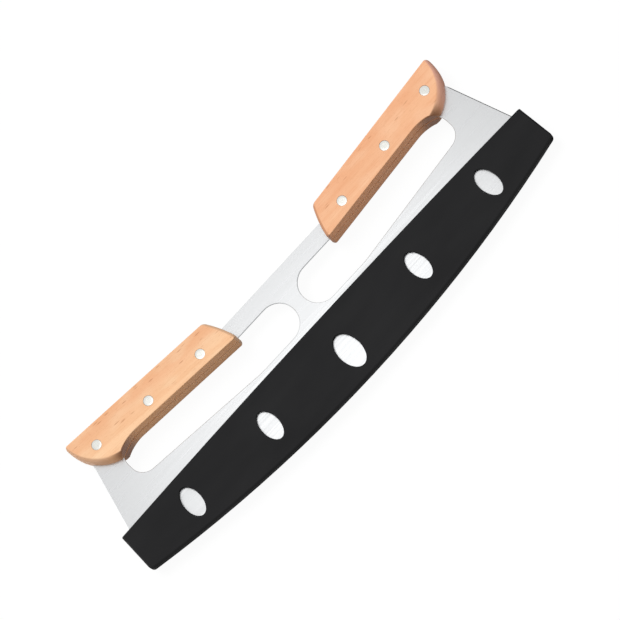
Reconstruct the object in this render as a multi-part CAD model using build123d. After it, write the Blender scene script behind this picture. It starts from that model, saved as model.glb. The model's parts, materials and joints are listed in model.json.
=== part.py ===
from build123d import *
import os
from math import atan2, cos, degrees, radians, sin, sqrt, tan

# A rocking pizza knife: a flat steel blade with a curved cutting edge, two wooden handles of two
# scales each, riveted through the blade, and a moulded guard that pushes on over the cutting edge.
# Sizes are in millimetres and angles in degrees. While the pieces are drawn, X runs along the knife
# from its middle, Y runs up from the lowest point of the cutting edge to the handles, and Z is the
# thickness, from the blade's middle plane. All pieces then move together to the part's own origin,
# the middle of the underside of the whole knife as it lies flat.

# Blade
blade_thickness = 1.6
blade_height = 88.9                # straight back edge above the lowest point of the cutting edge
rocker_radius = 924.0              # radius of the cutting edge
corner_half_length = 180.0         # middle of the knife to the lower corner, before it is rounded
corner_radius = 10.0               # lower corners
end_lean_angle = 15.7              # end edges lean in towards the handles
shoulder_rise_height = 5.6         # upper corners above the back edge, under the handles' outer ends
shoulder_radius = 10.0
bevel_width = 5.0                  # ground flat on each side of the cutting edge
edge_land = 0.2                    # thickness left at the cutting edge

# Finger slots in the blade, one under each handle
middle_web = 9.7                   # steel left between the two slots
slot_height = 26.9                 # at the inner end, under the straight back bar
slot_half_length = 143.9           # middle of the knife to the slot's outer end
slot_bend_offset_length = 4.2      # past the heel, where the slot's floor starts to climb
slot_floor_angle = 6.3
slot_bend_radius = 60.0
slot_inner_round_share = 0.97      # of half the slot's height: nearly a half circle
slot_roof_round_share = 0.46       # of the slot's height at its outer end
slot_floor_round_share = 0.39      # of the same height, for the lower corner

# Handles: the lower inner corner of a scale is its heel, and its length follows handle_angle
scale_thickness = 8.7
heel_half_length = 42.4            # middle of the knife to the heel
heel_drop_height = 13.6            # heel below the blade's straight back edge
handle_angle = 5.5
grip_height = 21.4
finger_edge_drop = 0.7             # the grip is this much higher where the hollow starts
heel_lean_length = 10.3            # the inner end leans outwards by this much over the grip's height
heel_bulge_height = 0.9            # and is slightly rounded
heel_radius = 2.0
nape_radius = 4.5                  # upper inner corner
hollow_to_pommel_length = 12.5     # the finger edge turns down this far before the pommel's centre
hollow_radius = 30.0
hollow_sweep_angle = 60.0          # its arc runs on to outside the wood
pommel_centre_length = 94.5        # heel to the centre of the outer end's arc
pommel_centre_rise = 0.8           # that centre above the back edge
pommel_radius = 29.4
nose_radius = 3.0                  # lowest point of the pommel
tip_radius = 1.5                   # where the pommel meets the back edge
edge_break = 0.5                   # sanded edge all round the outer face
pommel_bevel_width = 2.5           # the pommel's outer face stands back, and its end is blunt
pommel_bevel_depth = 6.0
tang_inset = 1.7                   # the steel stands back from the wood, all round under the scales

# Rivets, two halves each, pressed together through the scales and the tang
inner_rivet_length = 22.5          # from the heel, along the handle
middle_rivet_length = 65.3
outer_rivet_edge_distance = 10.8   # from the pommel's rim, towards its centre
rivet_height = 7.4                 # above the heel
outer_rivet_angle = 47.0           # down from the back edge's direction, at the pommel's centre
head_diameter = 6.6
head_thickness = 1.2
head_recess = 0.06                 # heads lie just under the face of the wood
head_clearance = 0.03
tube_diameter = 4.6
tube_clearance = 0.05
shank_diameter = 3.0
shank_clearance = 0.02
press_gap = 0.3                    # between the tube's mouth and the other half's head
socket_floor = 1.0                 # solid metal behind the socket's blind bore
shank_end_gap = 0.8
hidden_sides = 24                  # flat sides on the rivets' hidden round work, to keep the model light

# Guard
guard_thickness = 6.0
guard_wall = 1.9
guard_floor = 2.0
guard_end_wall = 1.2
guard_splay = 1.4                  # the ends run outwards by this much from the mouth to the corners
guard_height = 45.7                # mouth above the cutting edge, at the middle
mouth_drop = 2.45                  # the mouth's edge is this much lower at its ends
edge_clearance = 0.5               # below the cutting edge
end_clearance = 0.35               # past the blade's ends
guard_corner_radius = 3.0
guard_edge_bevel = 1.0             # outer edges along the bottom and the ends
mouth_chamfer = 0.4                # lead-in along the inside of the mouth
window_height = 20.2
window_width = 11.3
window_pitch_length = 66.75        # between the windows' centres, along the knife
near_window_centre_height = 21.2   # centres of the four outer windows above the cutting edge
far_window_centre_height = 24.5
window_lean_radius = 1000.0        # the outer windows point to a centre this far above the cutting edge
middle_window_height = 24.8
middle_window_width = 14.4
middle_window_centre_height = 16.7

ON_TOP = (Align.CENTER, Align.CENTER, Align.MIN)
overrun = 3.0                      # cuts reach this far past the faces they go through

half_blade = blade_thickness / 2
half_stack = half_blade + scale_thickness
half_head = head_diameter / 2
head_top = half_stack - head_recess
head_seat = head_top - head_thickness
heel_y = blade_height - heel_drop_height
shoulder_y = blade_height + shoulder_rise_height
slot_bend_x = heel_half_length + slot_bend_offset_length
hollow_start = pommel_centre_length - hollow_to_pommel_length
pommel_centre_y = grip_height + pommel_centre_rise
outer_rivet_run = pommel_radius - outer_rivet_edge_distance
outer_rivet_x = pommel_centre_length + outer_rivet_run * cos(radians(outer_rivet_angle))
outer_rivet_y = pommel_centre_y - outer_rivet_run * sin(radians(outer_rivet_angle))
rivet_places = {
    "inner": (inner_rivet_length, rivet_height),
    "middle": (middle_rivet_length, rivet_height),
    "outer": (outer_rivet_x, outer_rivet_y),
}


def nearest(face, x, y):
    """Corner of a flat outline closest to a point."""
    return face.vertices().sort_by_distance((x, y))[0]


def rounded(face, corners):
    """Outline with a round on each of its corners, given as x, y, radius."""
    for x, y, radius in corners:
        face = fillet(nearest(face, x, y), radius)
    return face


def arc_height(radius, reach, low):
    """Height of an upward curving arc at a distance from the middle, where it is lowest."""
    return low + radius - sqrt(radius**2 - reach**2)


def scale_outline():
    """Side view of a scale, its heel at the origin and its handle along X."""
    heel_end = SagittaArc((heel_lean_length, grip_height), (0, 0), heel_bulge_height)
    finger_end = (hollow_start, -finger_edge_drop)
    back_end = (pommel_centre_length, grip_height)
    pommel_foot = (pommel_centre_length, -finger_edge_drop)
    grip_lines = Polyline((0, 0), finger_end, pommel_foot, back_end, (heel_lean_length, grip_height))
    face = make_face([heel_end, grip_lines])
    disc = Pos(pommel_centre_length, pommel_centre_y) * Circle(pommel_radius)
    above = Rectangle(2 * pommel_radius, 2 * pommel_radius, align=(Align.CENTER, Align.MIN))
    finger_edge = Line((0, 0), finger_end)
    hollow = JernArc(finger_end, finger_edge % 1, hollow_radius, -hollow_sweep_angle)
    end_x = (hollow @ 1).X
    under = Polyline(hollow @ 1, (end_x, -pommel_radius), (0, -pommel_radius), (0, 0))
    below = make_face([finger_edge, hollow, under])
    face = face + (disc - Pos(*back_end) * above) - below
    return rounded(
        face,
        [
            (0, 0, heel_radius),
            (heel_lean_length, grip_height, nape_radius),
            (pommel_centre_length + pommel_radius, grip_height, tip_radius),
            (pommel_centre_length, grip_height - pommel_radius, nose_radius),
        ],
    )


def tang_outline():
    """Side view of a tang: the scale's outline drawn in all round, its curves drawn again as arcs."""
    lines = []
    for edge in offset(scale_outline(), -tang_inset).face().outer_wire().edges():
        if edge.geom_type == GeomType.LINE:
            lines.append(edge)
        else:
            lines.append(ThreePointArc(edge @ 0, edge.center(), edge @ 1))
    return make_face(lines)


def on_handle(shape):
    """Shape drawn in the handle's own direction, set on the right half of the knife."""
    return Location((heel_half_length, heel_y, 0), (0, 0, handle_angle)) * shape


def on_both_sides(shape):
    """Shape of the right half with its mirror image on the left."""
    return shape + mirror(shape, Plane.YZ)


def finger_slot():
    """Outline of the right-hand slot; its roof follows the handle, tang_inset inside the wood."""
    roof = heel_y + tang_inset / cos(radians(handle_angle))
    roof_end = roof + (slot_half_length - heel_half_length) * tan(radians(handle_angle))
    floor = roof - slot_height
    floor_end = floor + (slot_half_length - slot_bend_x) * tan(radians(slot_floor_angle))
    inner = middle_web / 2
    inner_radius = slot_inner_round_share * slot_height / 2
    outer_height = roof_end - floor_end
    face = make_face(
        Polyline(
            (inner, floor),
            (slot_bend_x, floor),
            (slot_half_length, floor_end),
            (slot_half_length, roof_end),
            (heel_half_length, roof),
            (inner, roof),
            close=True,
        )
    )
    return rounded(
        face,
        [
            (inner, floor, inner_radius),
            (inner, roof, inner_radius),
            (slot_half_length, roof_end, slot_roof_round_share * outer_height),
            (slot_half_length, floor_end, slot_floor_round_share * outer_height),
            (slot_bend_x, floor, slot_bend_radius),
        ],
    )


def blade_body():
    """Outline of the blade without its tangs and slots, corners rounded."""
    corner_y = arc_height(rocker_radius, corner_half_length, 0)
    shoulder_x = corner_half_length - (shoulder_y - corner_y) * tan(radians(end_lean_angle))
    rivet_x = heel_half_length + rivet_places["inner"][0]
    edge = ThreePointArc((-corner_half_length, corner_y), (0, 0), (corner_half_length, corner_y))
    back = Polyline(
        (corner_half_length, corner_y),
        (shoulder_x, shoulder_y),
        (rivet_x, blade_height),
        (-rivet_x, blade_height),
        (-shoulder_x, shoulder_y),
        (-corner_half_length, corner_y),
    )
    return rounded(
        make_face([edge, back]),
        [
            (corner_half_length, corner_y, corner_radius),
            (-corner_half_length, corner_y, corner_radius),
            (shoulder_x, shoulder_y, shoulder_radius),
            (-shoulder_x, shoulder_y, shoulder_radius),
        ],
    )


def edge_bevel():
    """Ring that grinds one side of the cutting edge: a wedge turned about the rocker's centre."""
    wedge = make_face(
        Polyline(
            (bevel_width, half_blade),
            (0, edge_land / 2),
            (-overrun, edge_land / 2),
            (-overrun, half_blade + overrun),
            (bevel_width, half_blade + overrun),
            close=True,
        )
    )
    return revolve(Plane.YZ * wedge, Axis((0, rocker_radius, 0), (0, 0, 1)), 360)


def blade():
    """Blade with both tangs, finger slots, rivet holes and the ground cutting edge."""
    tang = on_handle(tang_outline())
    face = blade_body() + on_both_sides(tang) - on_both_sides(finger_slot())
    for x, y in rivet_places.values():
        hole = on_handle(Pos(x, y) * hidden_round(tube_diameter / 2 + tube_clearance))
        face = face - on_both_sides(hole)
    plate = extrude(face, half_blade, both=True)
    bevel = edge_bevel()
    return plate - bevel - mirror(bevel, Plane.XY)


def hidden_round(radius):
    """Round outline for a shank, tube or bore that the rivet heads hide."""
    return RegularPolygon(radius, hidden_sides)


def pommel_cutter():
    """Half ring that bevels the outer face's edge along the pommel's arc, like a router bit."""
    inside = pommel_radius - pommel_bevel_width
    shoulder = half_stack - pommel_bevel_depth
    section = make_face(
        Polyline(
            (inside, half_stack),
            (pommel_radius, shoulder),
            (pommel_radius + overrun, shoulder),
            (pommel_radius + overrun, half_stack + overrun),
            (inside, half_stack + overrun),
            close=True,
        )
    )
    half_ring = revolve(Plane.XZ * section, Axis.Z, 180)
    return Location((pommel_centre_length, pommel_centre_y, 0), (0, 0, -90)) * half_ring


def scale():
    """Right front scale: sanded edges, bevelled pommel, and stepped holes for the rivets."""
    solid = extrude(scale_outline(), scale_thickness)
    solid = Pos(0, 0, half_blade) * solid
    outer_face = solid.faces().sort_by(Axis.Z)[-1]
    solid = chamfer(outer_face.edges(), edge_break) - pommel_cutter()
    for x, y in rivet_places.values():
        bore = extrude(hidden_round(tube_diameter / 2 + tube_clearance), half_stack)
        seat = Cylinder(half_head + head_clearance, overrun, align=ON_TOP)
        solid = solid - Pos(x, y, 0) * bore - Pos(x, y, head_seat) * seat
    return on_handle(solid)


def rivet_head():
    """Flat round head of either rivet half."""
    head = Cylinder(half_head, head_thickness, align=ON_TOP)
    return Pos(0, 0, head_seat) * head


def rivet_stud():
    """Front half of a rivet: a head with a solid shank that is driven into the socket."""
    shank_length = 2 * head_seat - socket_floor - shank_end_gap
    shank = extrude(hidden_round(shank_diameter / 2), shank_length)
    return rivet_head() + Pos(0, 0, head_seat - shank_length) * shank


def rivet_socket():
    """Back half of a rivet: a head with a tube that takes the shank."""
    tube_length = 2 * head_seat - press_gap
    tube = extrude(hidden_round(tube_diameter / 2), tube_length)
    bore = extrude(hidden_round(shank_diameter / 2 + shank_clearance), tube_length)
    tube = tube - Pos(0, 0, socket_floor) * bore
    return mirror(rivet_head(), Plane.XY) + Pos(0, 0, -head_seat) * tube


def guard_outline(mouth_half, corner_half):
    """Outline of the guard, its mouth crowned and its bottom following the cutting edge."""
    bottom_radius = rocker_radius + edge_clearance + guard_floor
    corner_y = arc_height(bottom_radius, corner_half, rocker_radius - bottom_radius)
    mouth_y = guard_height - mouth_drop
    mouth = ThreePointArc((-mouth_half, mouth_y), (0, guard_height), (mouth_half, mouth_y))
    right_end = Line((mouth_half, mouth_y), (corner_half, corner_y))
    lowest = (0, rocker_radius - bottom_radius)
    bottom = ThreePointArc((corner_half, corner_y), lowest, (-corner_half, corner_y))
    left_end = Line((-corner_half, corner_y), (-mouth_half, mouth_y))
    return rounded(
        make_face([mouth, right_end, bottom, left_end]),
        [(corner_half, corner_y, guard_corner_radius), (-corner_half, corner_y, guard_corner_radius)],
    )


def guard_pocket(pocket_half):
    """Outline of the slot that the blade stands in, open at the mouth."""
    floor_radius = rocker_radius + edge_clearance
    corner_y = arc_height(floor_radius, pocket_half, -edge_clearance)
    top = guard_height + overrun
    floor = ThreePointArc((-pocket_half, corner_y), (0, -edge_clearance), (pocket_half, corner_y))
    right_side = Line((pocket_half, corner_y), (pocket_half, top))
    left_side = Line((-pocket_half, top), (-pocket_half, corner_y))
    return make_face([floor, right_side, Line((pocket_half, top), (-pocket_half, top)), left_side])


def window_outlines():
    """The five oval windows; the outer ones lean to follow the rocker."""
    middle = Ellipse(middle_window_width / 2, middle_window_height / 2)
    windows = Pos(0, middle_window_centre_height) * middle
    for step, y in enumerate((near_window_centre_height, far_window_centre_height), start=1):
        x = step * window_pitch_length
        turn = degrees(atan2(x, window_lean_radius - y))
        oval = Location((x, y, 0), (0, 0, turn)) * Ellipse(window_width / 2, window_height / 2)
        windows = windows + on_both_sides(oval)
    return windows


def guard(blade_half):
    """Moulded U-section guard over the cutting edge, with its windows through both walls."""
    pocket_half = blade_half + end_clearance
    mouth_half = pocket_half + guard_end_wall
    body = extrude(guard_outline(mouth_half, mouth_half + guard_splay), guard_thickness / 2, both=True)
    for face in (body.faces().sort_by(Axis.Z)[0], body.faces().sort_by(Axis.Z)[-1]):
        rims = face.edges().sort_by(Axis.Y)[:-1]
        body = chamfer(rims, guard_edge_bevel)
    pocket_width = guard_thickness - 2 * guard_wall
    body = body - extrude(guard_pocket(pocket_half), pocket_width / 2, both=True)
    mouth = body.faces().sort_by(Axis.Y)[-1]
    body = chamfer(mouth.inner_wires()[0].edges(), mouth_chamfer)
    return body - extrude(window_outlines(), guard_thickness, both=True)


def all_pieces():
    """Every piece of the knife by name, placed as drawn."""
    steel = blade()
    right_front = scale()
    pieces = {"blade": steel, "blade_guard": guard(steel.bounding_box().max.X)}
    for side in ("right", "left"):
        for layer in ("front", "back"):
            piece = right_front
            if side == "left":
                piece = mirror(piece, Plane.YZ)
            if layer == "back":
                piece = mirror(piece, Plane.XY)
            pieces[f"{side}_{layer}_scale"] = piece
        for name, (x, y) in rivet_places.items():
            for half, rivet in (("stud", rivet_stud()), ("socket", rivet_socket())):
                piece = on_handle(Pos(x, y, 0) * rivet)
                if side == "left":
                    piece = mirror(piece, Plane.YZ)
                pieces[f"{side}_{name}_rivet_{half}"] = piece
    return pieces


os.makedirs("parts", exist_ok=True)
drawn = all_pieces()
box = Compound([piece.solid() for piece in drawn.values()]).bounding_box()
to_origin = Pos(-box.center().X, -box.center().Y, -box.min.Z)
for name, piece in drawn.items():
    export_step(to_origin * piece, f"parts/{name}.step")
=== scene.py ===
import json
from math import cos, pi, radians, sin, sqrt, tan

import bmesh
import bpy
import numpy as np
from mathutils import Matrix, Vector
from mathutils.geometry import tessellate_polygon

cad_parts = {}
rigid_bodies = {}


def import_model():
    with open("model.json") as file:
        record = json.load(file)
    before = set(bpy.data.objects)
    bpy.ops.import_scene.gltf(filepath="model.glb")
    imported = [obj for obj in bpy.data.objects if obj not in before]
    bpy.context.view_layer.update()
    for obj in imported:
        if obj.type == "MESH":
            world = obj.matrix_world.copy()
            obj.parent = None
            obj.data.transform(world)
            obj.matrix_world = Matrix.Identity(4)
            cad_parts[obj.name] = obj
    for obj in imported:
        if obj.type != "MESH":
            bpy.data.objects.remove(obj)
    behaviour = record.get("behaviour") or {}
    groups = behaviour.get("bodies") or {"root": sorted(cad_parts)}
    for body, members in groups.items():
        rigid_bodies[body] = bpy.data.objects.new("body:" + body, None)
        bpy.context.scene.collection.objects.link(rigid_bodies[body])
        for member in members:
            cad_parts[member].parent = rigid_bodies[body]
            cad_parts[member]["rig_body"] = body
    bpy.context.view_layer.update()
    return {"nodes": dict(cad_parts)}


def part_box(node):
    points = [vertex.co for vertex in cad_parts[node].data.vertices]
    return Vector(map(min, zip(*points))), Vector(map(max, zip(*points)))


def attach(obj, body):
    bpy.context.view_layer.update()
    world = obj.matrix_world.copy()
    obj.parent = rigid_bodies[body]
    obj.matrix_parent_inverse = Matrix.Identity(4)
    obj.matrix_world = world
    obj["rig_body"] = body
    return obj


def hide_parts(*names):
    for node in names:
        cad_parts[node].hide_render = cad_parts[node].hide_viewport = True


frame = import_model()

# A rocking pizza knife: satin stainless blade, beech handles with flush steel rivets, and a matt black
# moulded guard. The handle scales and the rivets are worked out again here, with the soft edges that
# sanding and buffing leave. The blade and the guard keep their CAD shape, with their corners rounded and
# the guard's windows fitted to the photograph. Sizes are in millimetres, made metres by mm, and those of
# the lights and the floor are in metres. X runs along the knife, Y from the cutting edge to the handles,
# and Z up through its thickness, with the floor at zero.

mm = 0.001
scene = bpy.context.scene

# Camera, as the photograph was taken: the knife's right end turned up in the picture, and the lens
# a little on the cutting edge's side
roll = radians(47.22)
tilt = radians(20)
camera_distance = 2500 * mm
picture_width = 380.2 * mm       # what the picture spans at the knife
sensor_width = 36.0
aim = Vector((1.6, 2.1, 9.5)) * mm

# Handle, seen from the front, measured from its heel, the lower inner corner
heel_place = (42.4, 22.385)      # on the knife, on its right half
handle_angle = radians(5.5)
grip_height = 21.4
heel_reach = {"right": 1.2, "left": 1.9}  # of the inner end's foot past the heel
heel_lean = 10.8
heel_bulge = 0.9
heel_radius = 2.0
nape_radius = 4.5
hollow_start = 82.0
finger_drop = 0.7                # the grip grows higher by this much towards the hollow
hollow_radius = 30.0
pommel_centre = 95.0
pommel_rise = 0.8                # of the pommel's centre above the back edge
pommel_radius = 29.4
nose_radius = 3.0
tip_radius = 1.1
inner_rivet_x = 22.5
inner_rivet_y = 7.4

# Rivets, and their seats in the wood
head_thickness = 1.2
head_rim_round = 0.22            # where the head was buffed
stud_radius = 1.5
stud_tip_radius = 1.1
stud_tip_length = 0.4
tube_radius = 2.3
tube_inner_radius = 1.52
tube_floor = 2.2                 # of the tube's inside, above the head's outer face
seat_clearance = 0.03
seat_edge = 0.08                 # broken off the seat's mouth
wood_bore_radius = 2.35

# Soft edges of the wood's outer face, by where they run
finger_edge_round = 0.5
back_edge_round = 1.1
heel_edge_round = 2.4
pommel_edge_round = 0.35
inner_face_round = 0.15          # the edges against the steel are only just broken
bullnose_depth = 7.4
bullnose_turn = radians(64)      # the bullnose meets the face at a crease, not level with it
face_shift = {"right": (-1.8, 3.1), "left": (-1.6, 1.9)}  # of the pommel's arc on the face

# Blade and guard, for the rounding of their edges
rocker_radius = 924.0            # of the cutting edge
bevel_width = 5.0
slot_round = 0.45                # of the edges of the slots and the back
end_round = 0.78                 # of the edges of the blade's two ends
end_reach = 18.0                 # how far in from its tip an end is rounded as an end
sharp_margin = 1.0               # edges this near the bevel aren't rounded either
hidden_reach = 2.0               # the rounding runs on under the handles by this much
guard_round = 0.25
merge_distance = 0.002
flat_angle = radians(0.2)        # faces nearer than this to one plane are joined
corner_angle = radians(25)       # edges that turn more than this are corners

# The guard's oval windows, each as the CAD has it and as the photograph shows it: place along the knife
# and above the cutting edge, half width, half height, and lean towards the middle in degrees
guard_windows = (
    ((0.0, 16.7, 7.2, 12.4, 0.0), (0.0, 17.6, 7.65, 13.0, 0.0)),
    ((66.75, 21.2, 5.65, 10.1, 3.9), (66.55, 22.35, 6.1, 11.0, 1.6)),
    ((133.5, 24.5, 5.65, 10.1, 7.8), (132.85, 25.65, 6.15, 11.0, 3.6)),
)
rim_reach = 1.02                 # a point this many half sizes from a window's middle is on its rim

# Tints of the two handles' wood: the left one is paler and yellower
# The wall and nose tints are painted shade, and the right pommel's pair is painted lighter as a painted
# highlight
wood_tints = {
    "right": {
        "front": "FAC298", "back": "F4B489", "growth": "EFAC80", "clouds": "FFD1AC", "fibres": "E2A073",
        "wall": "E69A61", "nose": "764829", "heel": "C88E6A", "pommel": ("F5AC97", "FFCBB6"),
    },
    "left": {
        "front": "FFD0A5", "back": "F1B388", "growth": "F1B586", "clouds": "FFDCB5", "fibres": "E4A979",
        "wall": "EAA466", "nose": "763E22", "heel": "D9AD88", "pommel": ("D89E78", "EBBF97"),
    },
}

rim_width = 0.35                 # of flat face next to its edge, so that shading stays in the edge
round_steps = 16
bullnose_steps = 8
head_rim_steps = 5
circle_points = 48
crease_angle = radians(40)


def srgb(code):
    """Linear colour of an sRGB hex code."""
    values = np.array([int(code[place : place + 2], 16) for place in (0, 2, 4)]) / 255
    linear = np.where(values <= 0.04045, values / 12.92, ((values + 0.055) / 1.055) ** 2.4)
    return (*linear.tolist(), 1.0)


# Surfaces


class Surface:
    """Points and faces of one closed piece, added ring by ring."""

    def __init__(self):
        self.points = []
        self.faces = []
        self.total = 0

    def ring(self, points):
        """Adds a closed ring of points and gives their numbers."""
        numbers = np.arange(self.total, self.total + len(points))
        self.points.append(points)
        self.total += len(points)
        return numbers

    def sleeve(self, rings):
        """Joins each ring to the next by four-sided faces, and gives the first and last ring's numbers."""
        numbers = [self.ring(points) for points in rings]
        for near, far in zip(numbers, numbers[1:]):
            sides = np.stack([near, np.roll(near, -1), np.roll(far, -1), far], axis=1)
            self.faces.extend(sides.tolist())
        return numbers[0], numbers[-1]

    def cap(self, outline, holes=()):
        """Closes a flat outline, less its holes, with triangles."""
        numbers = np.concatenate([outline, *holes])
        points = np.concatenate(self.points)
        loops = [[Vector(point) for point in points[loop]] for loop in (outline, *holes)]
        triangles = np.array(tessellate_polygon(loops))
        self.faces.extend(numbers[triangles].tolist())

    def made(self, name):
        """Object with these faces, turned outwards and smooth but for the creases."""
        mesh = bpy.data.meshes.new(name)
        mesh.from_pydata(np.concatenate(self.points).tolist(), [], self.faces)
        work = bmesh.new()
        work.from_mesh(mesh)
        bmesh.ops.recalc_face_normals(work, faces=work.faces)
        work.to_mesh(mesh)
        work.free()
        mesh.shade_smooth()
        mesh.set_sharp_from_angle(angle=crease_angle)
        return linked(name, mesh)


def linked(name, data):
    """New object of a mesh, a light or a camera, in the scene."""
    made = bpy.data.objects.new(name, data)
    scene.collection.objects.link(made)
    return made


def settle(piece, node, material):
    """Lets a piece ride, stand for its CAD node and take its finish."""
    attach(piece, frame["nodes"][node]["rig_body"])
    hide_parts(node)
    piece.data.materials.append(material)


# Handles


def arc(centre, radius, start, end, count):
    """A count of points on a circle, the short way round from the direction of start to that of end."""
    first = np.arctan2(start[1] - centre[1], start[0] - centre[0])
    last = np.arctan2(end[1] - centre[1], end[0] - centre[0])
    turn = (last - first + pi) % (2 * pi) - pi
    angle = first + turn * np.linspace(0, 1, count)
    return np.stack([centre[0] + radius * np.cos(angle), centre[1] + radius * np.sin(angle)], axis=1)


def between(start, end, count):
    """A count of points on the straight run from start to end, without the two ends."""
    share = np.linspace(0, 1, count + 2)[1:-1, None]
    return start + (end - start) * share


def handle_outline(shift, reach):
    """Side view of a handle, anticlockwise from the heel: finger edge, hollow, nose, pommel, tip, back
    edge, nape and inner end. Each corner is an arc whose centre stands its radius inside both edges.
    The pommel's arc is moved by a shift, and its neighbours follow. reach is how far the inner end's
    foot stands past the heel."""
    pommel = np.array([pommel_centre, grip_height + pommel_rise]) + shift
    hollow_edge = np.array([hollow_start, -finger_drop])
    hollow = hollow_edge - [0, hollow_radius]
    end_run = np.array([heel_lean, grip_height])
    end_chord = np.hypot(*end_run)
    end_radius = end_chord**2 / (8 * heel_bulge) + heel_bulge / 2
    into_wood = np.array([grip_height, -heel_lean]) / end_chord
    end_centre = end_run / 2 - [reach, 0] + into_wood * (end_radius - heel_bulge)

    apart = pommel - hollow
    gap = np.hypot(*apart)
    along = ((hollow_radius + nose_radius) ** 2 - (pommel_radius - nose_radius) ** 2 + gap**2) / (2 * gap)
    across = np.sqrt((hollow_radius + nose_radius) ** 2 - along**2)
    nose = hollow + (apart * along + np.array([apart[1], -apart[0]]) * across) / gap

    tip_y = grip_height - tip_radius
    tip_run = np.sqrt((pommel_radius - tip_radius) ** 2 - (tip_y - pommel[1]) ** 2)
    tip = np.array([pommel[0] + tip_run, tip_y])
    nape_y = grip_height - nape_radius
    nape_run = np.sqrt((end_radius - nape_radius) ** 2 - (nape_y - end_centre[1]) ** 2)
    nape = np.array([end_centre[0] - nape_run, nape_y])
    heel_run = np.sqrt((end_radius - heel_radius) ** 2 - (heel_radius - end_centre[1]) ** 2)
    heel = np.array([end_centre[0] - heel_run, heel_radius])

    pommel_start = pommel + (nose - pommel) * pommel_radius / (pommel_radius - nose_radius)
    pommel_end = pommel + (tip - pommel) * pommel_radius / (pommel_radius - tip_radius)
    nape_end = end_centre + (nape - end_centre) * end_radius / (end_radius - nape_radius)
    heel_start = end_centre + (heel - end_centre) * end_radius / (end_radius - heel_radius)
    heel_end = heel - [0, heel_radius]
    tip_end = tip + [0, tip_radius]
    nape_start = nape + [0, nape_radius]
    stretches = [
        arc(heel, heel_radius, heel_start, heel_end, 14),
        between(heel_end, hollow_edge, 60),
        arc(hollow, hollow_radius, hollow_edge, nose, 36)[:-1],
        arc(nose, nose_radius, hollow, pommel_start, 20)[:-1],
        arc(pommel, pommel_radius, nose, pommel_end, 90)[:-1],
        arc(tip, tip_radius, pommel_end, tip_end, 14),
        between(tip_end, nape_start, 90),
        arc(nape, nape_radius, nape_start, nape_end, 18)[:-1],
        arc(end_centre, end_radius, nape_end, heel_start, 24)[:-1],
    ]
    return np.concatenate(stretches)


def outward(points):
    """Unit normals of a closed anticlockwise line: its direction turned right."""
    run = np.roll(points, -1, axis=0) - np.roll(points, 1, axis=0)
    run /= np.hypot(*run.T)[:, None]
    return np.stack([run[:, 1], -run[:, 0]], axis=1)


def edge_rounds(facing):
    """Radius of the outer face's edge at each point: the four sides' own radii, each weighed by the
    square of how far the outline faces that way. The squares add up to one."""
    right, left = np.maximum(facing[:, 0], 0) ** 2, np.minimum(facing[:, 0], 0) ** 2
    back, front = np.maximum(facing[:, 1], 0) ** 2, np.minimum(facing[:, 1], 0) ** 2
    sides = back * back_edge_round + front * finger_edge_round
    return sides + left * heel_edge_round + right * pommel_edge_round


def bullnose(depth):
    """Share of the pommel's shift at a depth under the outer face: part of an ellipse, level with the
    wall where it starts and steeper towards the face, where it is one."""
    rise = sin(bullnose_turn) * max(1 - depth / bullnose_depth, 0)
    return (1 - sqrt(1 - rise**2)) / (1 - cos(bullnose_turn))


def circle(centre, radius):
    """Points of a circle, anticlockwise."""
    angle = np.linspace(0, 2 * pi, circle_points, endpoint=False)
    return np.stack([centre[0] + radius * np.cos(angle), centre[1] + radius * np.sin(angle)], axis=1)


def at_height(points, height):
    """Flat points raised to a height, in metres."""
    heights = np.broadcast_to(height, len(points))
    return np.column_stack([points, heights]) * mm


def handle_scale(node, side, outer, material):
    """A scale is the handle's outline at every depth under its outer face: the pommel drawn in by the
    bullnose there, and all of it by a quarter circle of the edge's own radius. side is 1 on the right
    and -1 on the left, outer is 1 for the front scale, whose face is up, and -1 for the back one."""
    low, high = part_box(node)
    inner_z, face_z = (low.z / mm, high.z / mm) if outer > 0 else (high.z / mm, low.z / mm)
    thickness = abs(face_z - inner_z)
    name = "right" if side > 0 else "left"
    centres = {place: rivet_centre(f"{name}_{place}_rivet_stud") for place in ("inner", "middle", "outer")}
    turned = np.array([[cos(handle_angle), sin(handle_angle)], [-sin(handle_angle), cos(handle_angle)]])
    mirrored = np.array([side, 1])
    heel = centres["inner"] * mirrored - np.array([inner_rivet_x, inner_rivet_y]) @ turned
    facing = outward(handle_outline(np.zeros(2), heel_reach[name]))
    rounds = edge_rounds(facing)

    def level(depth, inset=0):
        """Ring at a depth under the outer face, drawn in by an inset more than the edge's round."""
        short = np.maximum(rounds - depth, 0)
        drawn = rounds - np.sqrt(rounds**2 - short**2) + inset
        outline = handle_outline(bullnose(depth) * np.array(face_shift[name]), heel_reach[name])
        flat = (outline - facing * drawn[:, None]) @ turned + heel
        return at_height(flat * mirrored, face_z - outer * depth)

    largest = max(finger_edge_round, back_edge_round, heel_edge_round)
    wall = [level(thickness, inner_face_round), level(thickness - inner_face_round)]
    wall += [level(depth) for depth in np.linspace(bullnose_depth, largest, bullnose_steps)[:-1]]
    soft = [level(largest * (1 - sin(angle))) for angle in np.linspace(0, pi / 2, round_steps)]
    body = Surface()
    inner_ring, face_ring = body.sleeve(wall + soft + [level(0, rim_width)])

    face_holes, inner_holes = [], []
    for place, centre in centres.items():
        seat_radius = rivet_head_radius(f"{name}_{place}_rivet_stud") + seat_clearance
        seat_z = face_z - outer * head_thickness
        steps = [(seat_radius + seat_edge, face_z), (seat_radius, face_z - outer * seat_edge)]
        steps += [(seat_radius, seat_z), (wood_bore_radius, seat_z), (wood_bore_radius, inner_z)]
        first, last = body.sleeve([at_height(circle(centre, radius), z) for radius, z in steps])
        face_holes.append(first)
        inner_holes.append(last)
    body.cap(face_ring, face_holes)
    body.cap(inner_ring, inner_holes)
    settle(body.made(f"{node}_sanded"), node, material)


# Rivets


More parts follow.
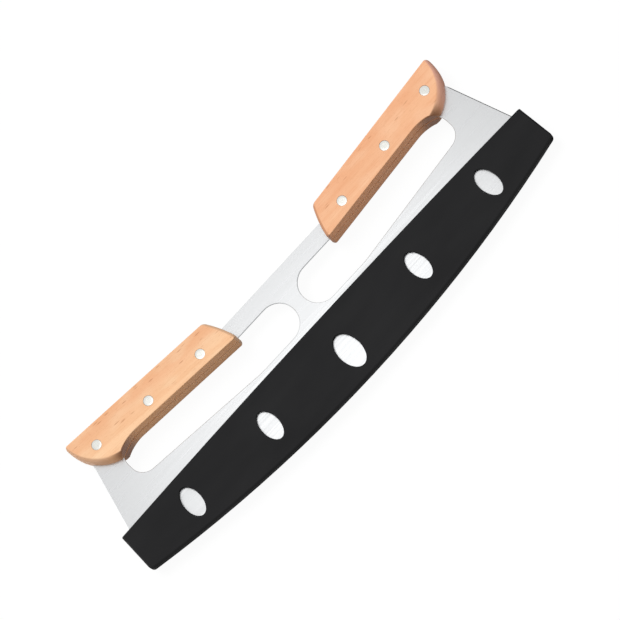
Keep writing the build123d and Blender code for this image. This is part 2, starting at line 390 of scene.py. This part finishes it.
def rivet_centre(node):
    """Middle of a rivet on the knife, in millimetres."""
    low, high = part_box(node)
    middle = (low + high) / 2
    return np.array([middle.x, middle.y]) / mm


def rivet_head_radius(node):
    """Radius of a rivet's head, in millimetres."""
    low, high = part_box(node)
    return (high.x - low.x) / 2 / mm


def rivet_half(node, outer, material):
    """A rivet half is a profile turned about its axis: a flat head with a buffed rim, and under it a
    solid shank with a leading bevel, or a tube. Flat caps close it, at half the head's radius and at the
    shank's tip or the tube's floor. outer is 1 for the stud, whose head is up, and -1 for the socket."""
    low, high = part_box(node)
    top, end = (high.z / mm, low.z / mm) if outer > 0 else (low.z / mm, high.z / mm)
    head = rivet_head_radius(node)
    centre = rivet_centre(node)
    under = top - outer * head_thickness
    profile = [(head / 2, top)]
    for angle in np.linspace(0, pi / 2, head_rim_steps):
        inwards, deeper = head_rim_round * (1 - sin(angle)), head_rim_round * (1 - cos(angle))
        profile.append((head - inwards, top - outer * deeper))
    profile.append((head, under))
    if outer > 0:
        profile += [(stud_radius, under), (stud_radius, end + stud_tip_length), (stud_tip_radius, end)]
    else:
        profile += [(tube_radius, under), (tube_radius, end)]
        profile += [(tube_inner_radius, end), (tube_inner_radius, top + tube_floor)]
    body = Surface()
    first, last = body.sleeve([at_height(circle(centre, radius), z) for radius, z in profile])
    body.cap(first)
    body.cap(last)
    settle(body.made(f"{node}_turned"), node, material)


# Blade and guard


def rounded_copy(node, name, width, chosen, material, fitted=np.copy):
    """A copy of the CAD node's mesh, merged, with the chosen edges rounded. chosen takes the edges'
    middles and gives each edge's share of the width; only edges that turn a corner are rounded. fitted
    takes the mesh's points and gives the copy's own. All points are in metres."""
    mesh = frame["nodes"][node].data.copy()
    mesh.materials.clear()
    points = np.empty(3 * len(mesh.vertices), dtype=np.float32)
    mesh.vertices.foreach_get("co", points)
    mesh.vertices.foreach_set("co", fitted(points.reshape(-1, 3)).ravel())
    work = bmesh.new()
    work.from_mesh(mesh)
    bmesh.ops.remove_doubles(work, verts=work.verts, dist=merge_distance * mm)
    bmesh.ops.dissolve_limit(work, angle_limit=flat_angle, verts=work.verts, edges=work.edges)
    bmesh.ops.recalc_face_normals(work, faces=work.faces)
    turning = np.array([edge.calc_face_angle(0.0) for edge in work.edges]) > corner_angle
    middles = np.array([(edge.verts[0].co + edge.verts[1].co) / 2 for edge in work.edges])
    weights = turning * chosen(middles)
    work.to_mesh(mesh)
    work.free()
    stored = mesh.attributes.new("bevel_weight_edge", "FLOAT", "EDGE")
    stored.data.foreach_set("value", weights)
    mesh.shade_smooth()
    mesh.set_sharp_from_angle(angle=corner_angle)
    piece = linked(name, mesh)
    bevel = piece.modifiers.new("rounded edges", "BEVEL")
    bevel.width = width * mm
    bevel.segments = 3
    bevel.limit_method = "WEIGHT"
    bevel.use_clamp_overlap = False
    piece.modifiers.new("flat faces stay flat", "WEIGHTED_NORMAL")
    settle(piece, node, material)


def tumbled_blade(material):
    """Blade with its stamped edges tumbled round, the two ends furthest, apart from the cutting edge and
    what the handles hide."""
    low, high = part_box("blade")
    rocker = np.array([0, low.y + rocker_radius * mm])

    def chosen(middles):
        flat = middles[:, :2]
        off_edge = np.hypot(*(flat - rocker).T) < (rocker_radius - bevel_width - sharp_margin) * mm
        past_heel = np.abs(flat[:, 0]) - heel_place[0] * mm
        over_finger_edge = flat[:, 1] - heel_place[1] * mm - past_heel * tan(handle_angle)
        bare = (past_heel < 0) | (over_finger_edge < hidden_reach * mm)
        at_ends = np.abs(flat[:, 0]) > high.x - end_reach * mm
        return off_edge * bare * np.where(at_ends, 1.0, slot_round / end_round)

    rounded_copy("blade", "blade_tumbled", end_round, chosen, material)


def window_frame(window, side):
    """Middle of a window, its own two axes as rows, and its half sizes, in metres."""
    along, above, width, height, lean = window
    low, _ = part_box("blade")
    turn = side * radians(lean)
    axes = np.array([[cos(turn), sin(turn)], [-sin(turn), cos(turn)]])
    return np.array([side * along * mm, low.y + above * mm]), axes, np.array([width, height]) * mm


def windows_fitted(points):
    """Guard's points, with each window's rims taken from the CAD's ellipse to the photograph's: measured
    from the window's middle along its own axes, in half sizes, and set out again the same way from the
    other middle, axes and half sizes."""
    moved = points.copy()
    for solid, seen in guard_windows:
        for side in (1, -1):
            middle, axes, half = window_frame(solid, side)
            share = (points[:, :2] - middle) @ axes.T / half
            rim = np.hypot(*share.T) < rim_reach
            middle, axes, half = window_frame(seen, side)
            moved[rim, :2] = (share[rim] * half) @ axes + middle
    return moved


def moulded_guard(material):
    """Guard with the photograph's windows, and the small radius that a mould leaves on every edge."""

    def everywhere(middles):
        return np.ones(len(middles))

    name, slot = "blade_guard_moulded", "guard_plastic"
    rounded_copy("blade_guard", name, guard_round, everywhere, material, windows_fitted)


# Materials


def new_material(name):
    """Empty node material and its tree."""
    material = bpy.data.materials.new(name)
    material.use_nodes = True
    material.node_tree.nodes.clear()
    return material, material.node_tree


def add(tree, kind, inputs=None, **settings):
    """Adds a node. Settings are its properties, and each input is a value or the socket that feeds it."""
    made = tree.nodes.new(kind)
    for name, value in settings.items():
        setattr(made, name, value)
    for name, value in (inputs or {}).items():
        if isinstance(value, bpy.types.NodeSocket):
            tree.links.new(value, made.inputs[name])
        else:
            made.inputs[name].default_value = value
    return made


def stretched(tree, across, along, centre=(0, 0, 0), turn=0):
    """Object coordinates from a centre, turned about Z, counted in units of the sizes given."""
    where = add(tree, "ShaderNodeTexCoord").outputs["Object"]
    inputs = {"Vector": where, "Location": centre, "Rotation": (0, 0, turn), "Scale": (along, across, across)}
    return add(tree, "ShaderNodeMapping", inputs, vector_type="TEXTURE").outputs["Vector"]


def noise(tree, where, detail=2.0, roughness=0.5):
    """Smooth noise about one unit across, from 0 to 1."""
    inputs = {"Vector": where, "Scale": 1.0, "Detail": detail, "Roughness": roughness}
    return add(tree, "ShaderNodeTexNoise", inputs).outputs["Fac"]


def blend(tree, factor, low, high):
    """Colour between two."""
    inputs = {"Factor": factor, "A": low, "B": high}
    return add(tree, "ShaderNodeMix", inputs, data_type="RGBA").outputs["Result"]


def eased_step(tree, value, start, end, low=0.0, high=1.0):
    """low up to start and high past end, with a soft step between them."""
    inputs = {"Value": value, "From Min": start, "From Max": end, "To Min": low, "To Max": high}
    return add(tree, "ShaderNodeMapRange", inputs, interpolation_type="SMOOTHSTEP").outputs["Result"]


def reckon(tree, operation, first, second=0.0):
    """Sum, product or other result of two numbers."""
    return add(tree, "ShaderNodeMath", {0: first, 1: second}, operation=operation).outputs[0]


def parts_of(tree, vector):
    """X, Y and Z of a vector."""
    return add(tree, "ShaderNodeSeparateXYZ", {"Vector": vector}).outputs


def facing_of(tree):
    """X, Y and Z of the surface's own direction, in the knife's axes."""
    return parts_of(tree, add(tree, "ShaderNodeTexCoord").outputs["Normal"])


def bumped(tree, height, depth):
    """Surface direction of a relief whose height runs from 0 to a depth, in metres."""
    inputs = {"Height": height, "Strength": 1.0, "Distance": depth}
    return add(tree, "ShaderNodeBump", inputs).outputs["Normal"]


def shade(material, tree, inputs):
    """Ends the material in one principled surface."""
    shader = add(tree, "ShaderNodeBsdfPrincipled", inputs)
    add(tree, "ShaderNodeOutputMaterial", {"Surface": shader.outputs["BSDF"]})
    return material


def satin_stainless():
    """18/0 stainless sheet, satin ground along its length: a soft grey sheen with faint long streaks.
    The cutting edge's bevel is ground across, so its lines run the other way and it catches the light.
    The blanked walls of the slots and ends are sheared steel, rougher, and painted darker: partly their
    duller grey, partly painted shade. Real grinding lines are about 0.05 mm apart; these are 0.35 mm, so
    that they show."""
    material, tree = new_material("stainless steel, satin ground")
    low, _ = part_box("blade")
    lines = noise(tree, stretched(tree, 0.35 * mm, 45 * mm), 3.0)
    sheen = noise(tree, stretched(tree, 6 * mm, 90 * mm), 1.0)
    across = noise(tree, stretched(tree, 7 * mm, 0.3 * mm), 2.0)
    rocker = (0, low.y + rocker_radius * mm, 0)
    spokes = add(tree, "ShaderNodeVectorMath", {0: stretched(tree, mm, mm, rocker)}, operation="LENGTH")
    bevel_start = rocker_radius - bevel_width
    ground = eased_step(tree, spokes.outputs["Value"], bevel_start - 0.1, bevel_start + 0.1)
    streak = add(tree, "ShaderNodeMix", {"Factor": ground, "A": lines, "B": across}).outputs["Result"]
    flat = blend(tree, sheen, srgb("C6C7C8"), srgb("CBCCCD"))
    lined = blend(tree, streak, flat, srgb("D1D2D3"))
    # The blanked walls, where the surface faces sideways, are rougher and painted darker grey, partly their
    # duller steel and partly painted shade
    torn_edge_and_painted_shade = eased_step(tree, reckon(tree, "ABSOLUTE", facing_of(tree)["Z"]), 0.45, 0.15)
    colour = blend(tree, torn_edge_and_painted_shade, lined, srgb("96979A"))
    rough = eased_step(tree, streak, 0.3, 0.7, 0.27, 0.4)
    rough = reckon(tree, "ADD", rough, reckon(tree, "MULTIPLY", torn_edge_and_painted_shade, 0.15))
    bump = bumped(tree, streak, 0.002 * mm)
    return shade(material, tree, {"Base Color": colour, "Metallic": 1.0, "Roughness": rough, "Normal": bump})


def buffed_steel():
    """Stainless rivets, ground flush with the wood and buffed: near white, with a faint straight grain
    that runs across the handle. Its lines are 0.15 mm apart, about three times the real ones."""
    material, tree = new_material("stainless steel, buffed")
    grain = noise(tree, stretched(tree, 5 * mm, 0.15 * mm), 2.0)
    colour = blend(tree, grain, srgb("D6D6D1"), srgb("DFDFD9"))
    rough = eased_step(tree, grain, 0.3, 0.7, 0.2, 0.32)
    bump = bumped(tree, grain, 0.001 * mm)
    return shade(material, tree, {"Base Color": colour, "Metallic": 1.0, "Roughness": rough, "Normal": bump})


def beech(name, side):
    """Steamed beech, sanded and lightly oiled: a warm, pale peach with hardly any gloss. Slow bands of
    growth run along the handle, with fine fibres in them, and the short brown flecks of the wood's rays,
    mostly in the half next to the back edge, where the wood is darker too. The walls are painted a shade
    deeper than the face, a painted shade. The sanded pommel shows pinkish end grain, painted lighter on
    the right handle as a painted highlight, and the heel end a browner one. The nose, between hollow and
    pommel, is painted darkest on its underside: painted shade of the hollow."""
    material, tree = new_material(name)
    tint = wood_tints["right" if side > 0 else "left"]
    slope = side * handle_angle
    grain = radians(1.0) if side > 0 else slope
    heel = (side * heel_place[0] * mm, heel_place[1] * mm, 0)
    on_handle = parts_of(tree, stretched(tree, mm, mm, heel, slope))

    growth = noise(tree, stretched(tree, 5 * mm, 120 * mm, heel, grain), 2.0)
    fibres = noise(tree, stretched(tree, 0.4 * mm, 14 * mm, heel, grain), 3.0, 0.6)
    clouds = noise(tree, stretched(tree, 9 * mm, 22 * mm, heel, grain), 1.0)
    pores = noise(tree, stretched(tree, 0.25 * mm, 2.5 * mm, heel, grain), 1.0)

    towards_back = eased_step(tree, on_handle["Y"], 2.0, grip_height)
    body = blend(tree, towards_back, srgb(tint["front"]), srgb(tint["back"]))
    body = blend(tree, eased_step(tree, growth, 0.35, 0.65, 0.0, 0.5), body, srgb(tint["growth"]))
    body = blend(tree, eased_step(tree, clouds, 0.4, 0.7, 0.0, 0.35), body, srgb(tint["clouds"]))
    body = blend(tree, eased_step(tree, fibres, 0.45, 0.75, 0.0, 0.35), body, srgb(tint["fibres"]))
    body = blend(tree, eased_step(tree, pores, 0.62, 0.72, 0.0, 0.3), body, srgb("B9764C"))

    bent = add(tree, "ShaderNodeVectorMath", {0: stretched(tree, 2.0 * mm, 10 * mm, heel, grain), 1: clouds})
    cells = add(tree, "ShaderNodeTexVoronoi", {"Vector": bent.outputs[0], "Scale": 1.0}).outputs
    near = eased_step(tree, cells["Distance"], 0.27, 0.08)
    chance = eased_step(tree, on_handle["Y"], 3.0, 17.0, 0.84, 0.42)
    kept = reckon(tree, "GREATER_THAN", parts_of(tree, cells["Color"])["X"], chance)
    flecks = reckon(tree, "MULTIPLY", near, kept)
    body = blend(tree, reckon(tree, "MULTIPLY", flecks, 0.5), body, srgb("B3744C"))

    facing = facing_of(tree)
    # Painted shade: the walls, where the surface faces sideways, take the deeper wall tint
    upright = eased_step(tree, reckon(tree, "ABSOLUTE", facing["Z"]), 0.85, 0.25)
    body = blend(tree, reckon(tree, "MULTIPLY", upright, 0.75), body, srgb(tint["wall"]))
    # The pommel's outward end takes pinkish end grain; on the right handle its tint is painted lighter, a
    # painted highlight
    outwards = reckon(tree, "MULTIPLY", facing["X"], side)
    speckle = noise(tree, stretched(tree, 0.3 * mm, 0.3 * mm), 2.0)
    end_grain_and_painted_light = blend(tree, speckle, *[srgb(code) for code in tint["pommel"]])
    pommel_end = eased_step(tree, outwards, 0.15, 0.7)
    colour = blend(tree, reckon(tree, "MULTIPLY", pommel_end, 0.8), body, end_grain_and_painted_light)
    heel_end = eased_step(tree, outwards, -0.05, -0.4)
    colour = blend(tree, reckon(tree, "MULTIPLY", heel_end, 0.9), colour, srgb(tint["heel"]))
    along = reckon(tree, "MULTIPLY", on_handle["X"], side)
    # Painted shade: the underside of the nose, between hollow and pommel, is darkened with the nose tint
    near_nose = reckon(
        tree, "MULTIPLY", eased_step(tree, along, 82.0, 96.0), eased_step(tree, along, 107.0, 98.0)
    )
    downwards = eased_step(tree, facing["Y"], -0.15, -0.6)
    painted_nose_shade = reckon(tree, "MULTIPLY", near_nose, downwards)
    colour = blend(tree, reckon(tree, "MULTIPLY", painted_nose_shade, 0.8), colour, srgb(tint["nose"]))

    rough = eased_step(tree, fibres, 0.3, 0.7, 0.46, 0.6)
    relief = reckon(tree, "ADD", fibres, reckon(tree, "MULTIPLY", pores, 0.5))
    bump = bumped(tree, relief, 0.012 * mm)
    inputs = {"Base Color": colour, "Roughness": rough, "Specular IOR Level": 0.3, "Normal": bump}
    return shade(material, tree, inputs)


def guard_plastic():
    """Polypropylene from a spark-eroded mould: soft black with a fine even grain that breaks up every
    reflection, and barely lighter where hands have rubbed it. The walls between the two faces are painted
    a deeper black, a painted shade, and shine less. The grain is 0.25 mm, about twice the real one."""
    material, tree = new_material("polypropylene, moulded matt black")
    grain = noise(tree, stretched(tree, 0.25 * mm, 0.25 * mm), 2.0, 0.6)
    rubbed = noise(tree, stretched(tree, 14 * mm, 45 * mm), 2.0)
    face = eased_step(tree, reckon(tree, "ABSOLUTE", facing_of(tree)["Z"]), 0.25, 0.85)
    worn = blend(tree, rubbed, srgb("1A1A1B"), srgb("1F1F20"))
    # Painted shade: the walls, where the surface faces sideways, are painted a deeper black than the faces
    colour = blend(tree, face, srgb("101011"), worn)
    rough = eased_step(tree, reckon(tree, "ADD", grain, rubbed), 0.6, 1.4, 0.68, 0.54)
    shine = eased_step(tree, face, 0.0, 1.0, 0.04, 0.15)
    bump = bumped(tree, grain, 0.02 * mm)
    inputs = {"Base Color": colour, "Roughness": rough, "Specular IOR Level": shine, "Normal": bump}
    return shade(material, tree, inputs)


# Studio


def seen_directly(tree):
    """One where the camera, a reflection or clear glass looks straight at the backdrop, else zero."""
    path = add(tree, "ShaderNodeLightPath").outputs
    seen = reckon(tree, "MAXIMUM", path["Is Camera Ray"], path["Is Glossy Ray"])
    return reckon(tree, "MAXIMUM", seen, path["Is Transmission Ray"])


def floor():
    """Plain floor: white to the camera and to reflections, keeping the knife's soft shadow."""
    reach = 6.0
    mesh = bpy.data.meshes.new("floor")
    corners = [(-reach, -reach, 0), (reach, -reach, 0), (reach, reach, 0), (-reach, reach, 0)]
    mesh.from_pydata(corners, [], [(0, 1, 2, 3)])
    linked("floor", mesh)
    material, tree = new_material("studio paper")
    white = add(tree, "ShaderNodeEmission", {"Color": srgb("FFFFFF"), "Strength": 0.94}).outputs[0]
    shaded = add(tree, "ShaderNodeBsdfDiffuse", {"Color": (0.07, 0.07, 0.07, 1)}).outputs[0]
    shown = add(tree, "ShaderNodeAddShader", {0: white, 1: shaded}).outputs[0]
    grey = add(tree, "ShaderNodeBsdfDiffuse", {"Color": (0.33, 0.33, 0.33, 1)}).outputs[0]
    surface = add(tree, "ShaderNodeMixShader", {0: seen_directly(tree), 1: grey, 2: shown}).outputs[0]
    add(tree, "ShaderNodeOutputMaterial", {"Surface": surface})
    mesh.materials.append(material)


def studio_light():
    """One wide soft key light from above and behind the handles, a soft box that only the steel
    shows, and an even fill all round."""
    key = bpy.data.lights.new("key", "SUN")
    key.energy = 1.8
    key.angle = radians(30)
    lamp = linked("key", key)
    towards = Vector((-0.15, 0.45, 0.88))
    lamp.rotation_euler = towards.to_track_quat("Z", "Y").to_euler()
    lamp.visible_glossy = False
    box = bpy.data.lights.new("soft box", "AREA")
    box.shape = "RECTANGLE"
    box.size, box.size_y = 0.32, 0.20
    box.energy = 0.235
    glow = linked("soft box", box)
    glow.location = (-0.01, 0.095, 0.5)
    glow.visible_camera = False
    glow.visible_diffuse = False
    world = bpy.data.worlds.new("studio")
    world.use_nodes = True
    tree = world.node_tree
    tree.nodes.clear()
    seen = seen_directly(tree)
    strength = add(tree, "ShaderNodeMapRange", {"Value": seen, "To Min": 0.5, "To Max": 1.0}).outputs[0]
    light = add(tree, "ShaderNodeBackground", {"Color": srgb("FFFFFF"), "Strength": strength}).outputs[0]
    add(tree, "ShaderNodeOutputWorld", {"Surface": light})
    scene.world = world


def end_card(name, side, code, strength):
    """Small card beside one end of the blade: it lies 1 mm over the floor, and stands up 3 cm further
    out. Only reflections show it. side is 1 at the right and -1 at the left."""
    foot = np.array([[180, -45], [146, 55], [205, -27], [169, 88]])
    lying = np.column_stack([foot * [side, 1], np.ones(4)]) * mm
    standing = lying[2:] + [0, 0, 30 * mm]
    mesh = bpy.data.meshes.new(name)
    mesh.from_pydata([*lying.tolist(), *standing.tolist()], [], [(0, 1, 3, 2), (2, 3, 5, 4)])
    card = linked(name, mesh)
    card.visible_camera = False
    card.visible_diffuse = False
    card.visible_shadow = False
    material, tree = new_material(name)
    light = add(tree, "ShaderNodeEmission", {"Color": srgb(code), "Strength": strength})
    add(tree, "ShaderNodeOutputMaterial", {"Surface": light.outputs[0]})
    mesh.materials.append(material)


def end_cards():
    """A black card draws the blade's right end as a thin dark line, and a bright one lets its left end
    melt into the paper."""
    end_card("black_card", 1, "202020", 1.0)
    end_card("bright_card", -1, "FFFFFF", 1.7)


def photograph_camera():
    """Camera over the knife, tilted towards the cutting edge and rolled about its own axis."""
    back = Vector((0, -sin(tilt), cos(tilt)))
    upright = Vector((0, cos(tilt), sin(tilt)))
    along = Vector((1, 0, 0))
    right = along * cos(roll) - upright * sin(roll)
    up = along * sin(roll) + upright * cos(roll)
    data = bpy.data.cameras.new("photograph")
    data.sensor_width = sensor_width
    data.lens = sensor_width * camera_distance / picture_width
    camera = linked("photograph", data)
    turn = Matrix((right, up, back)).transposed()
    camera.matrix_world = Matrix.Translation(aim + back * camera_distance) @ turn.to_4x4()
    scene.camera = camera


photograph_camera()
studio_light()
end_cards()
floor()

tumbled_blade(satin_stainless())
rivet_metal = buffed_steel()
for side, name in ((1, "right"), (-1, "left")):
    for outer, layer, half in ((1, "front", "stud"), (-1, "back", "socket")):
        wood = beech(f"beech, sanded and oiled, {name} {layer}", side)
        handle_scale(f"{name}_{layer}_scale", side, outer, wood)
        for place in ("inner", "middle", "outer"):
            rivet_half(f"{name}_{place}_rivet_{half}", outer, rivet_metal)
moulded_guard(guard_plastic())
scene.view_settings.view_transform = "Standard"
